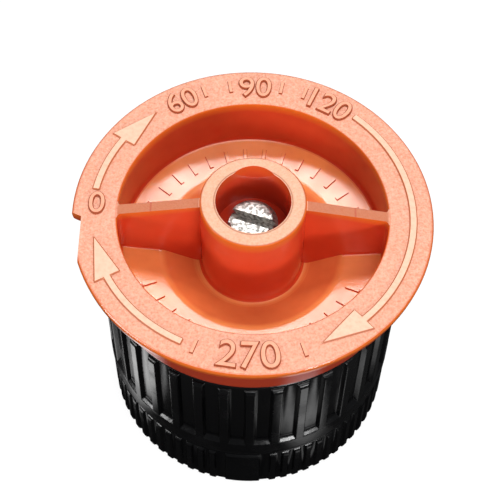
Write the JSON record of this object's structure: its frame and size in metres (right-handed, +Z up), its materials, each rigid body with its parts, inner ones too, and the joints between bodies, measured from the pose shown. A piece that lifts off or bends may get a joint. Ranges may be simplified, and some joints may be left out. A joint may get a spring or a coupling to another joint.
{
  "type": "variable arc spray nozzle for a pop-up sprinkler",
  "caption": "Variable-arc spray nozzle for a pop-up sprinkler: orange dished deflector cap on a stem, black ribbed arc collar, base with a female riser socket, and a slotted radius screw.",
  "frame": {"origin": "on the spray axis, at the bottom face of the base ring", "axes": "+Z up along the spray axis, out of the dish; +X along the right-hand web; the notch that marks the fixed edge of the arc is at -X"},
  "size_m": [0.0244, 0.0244, 0.0233],
  "materials": {
    "cap_plastic": "matte orange moulding",
    "collar_plastic": "black moulding with a satin gloss",
    "base_plastic": "black moulding with a satin gloss",
    "screw_steel": "bright stainless steel"
  },
  "bodies": {
    "base": {"base": "base_plastic", "deflector_cap": "cap_plastic"},
    "collar": {"arc_collar": "collar_plastic"},
    "screw": {"radius_screw": "screw_steel"}
  },
  "joints": [
    {"name": "arc_turn", "type": "hinge", "parent": "base", "child": "collar", "pos_m": [0, 0, 0.011], "axis": [0, 0, -1], "range_deg": [0, 330]},
    {"name": "screw_turn", "type": "hinge", "parent": "base", "child": "screw", "pos_m": [0, 0, 0.015], "axis": [0, 0, -1], "range_deg": [0, 1440]}
  ]
}
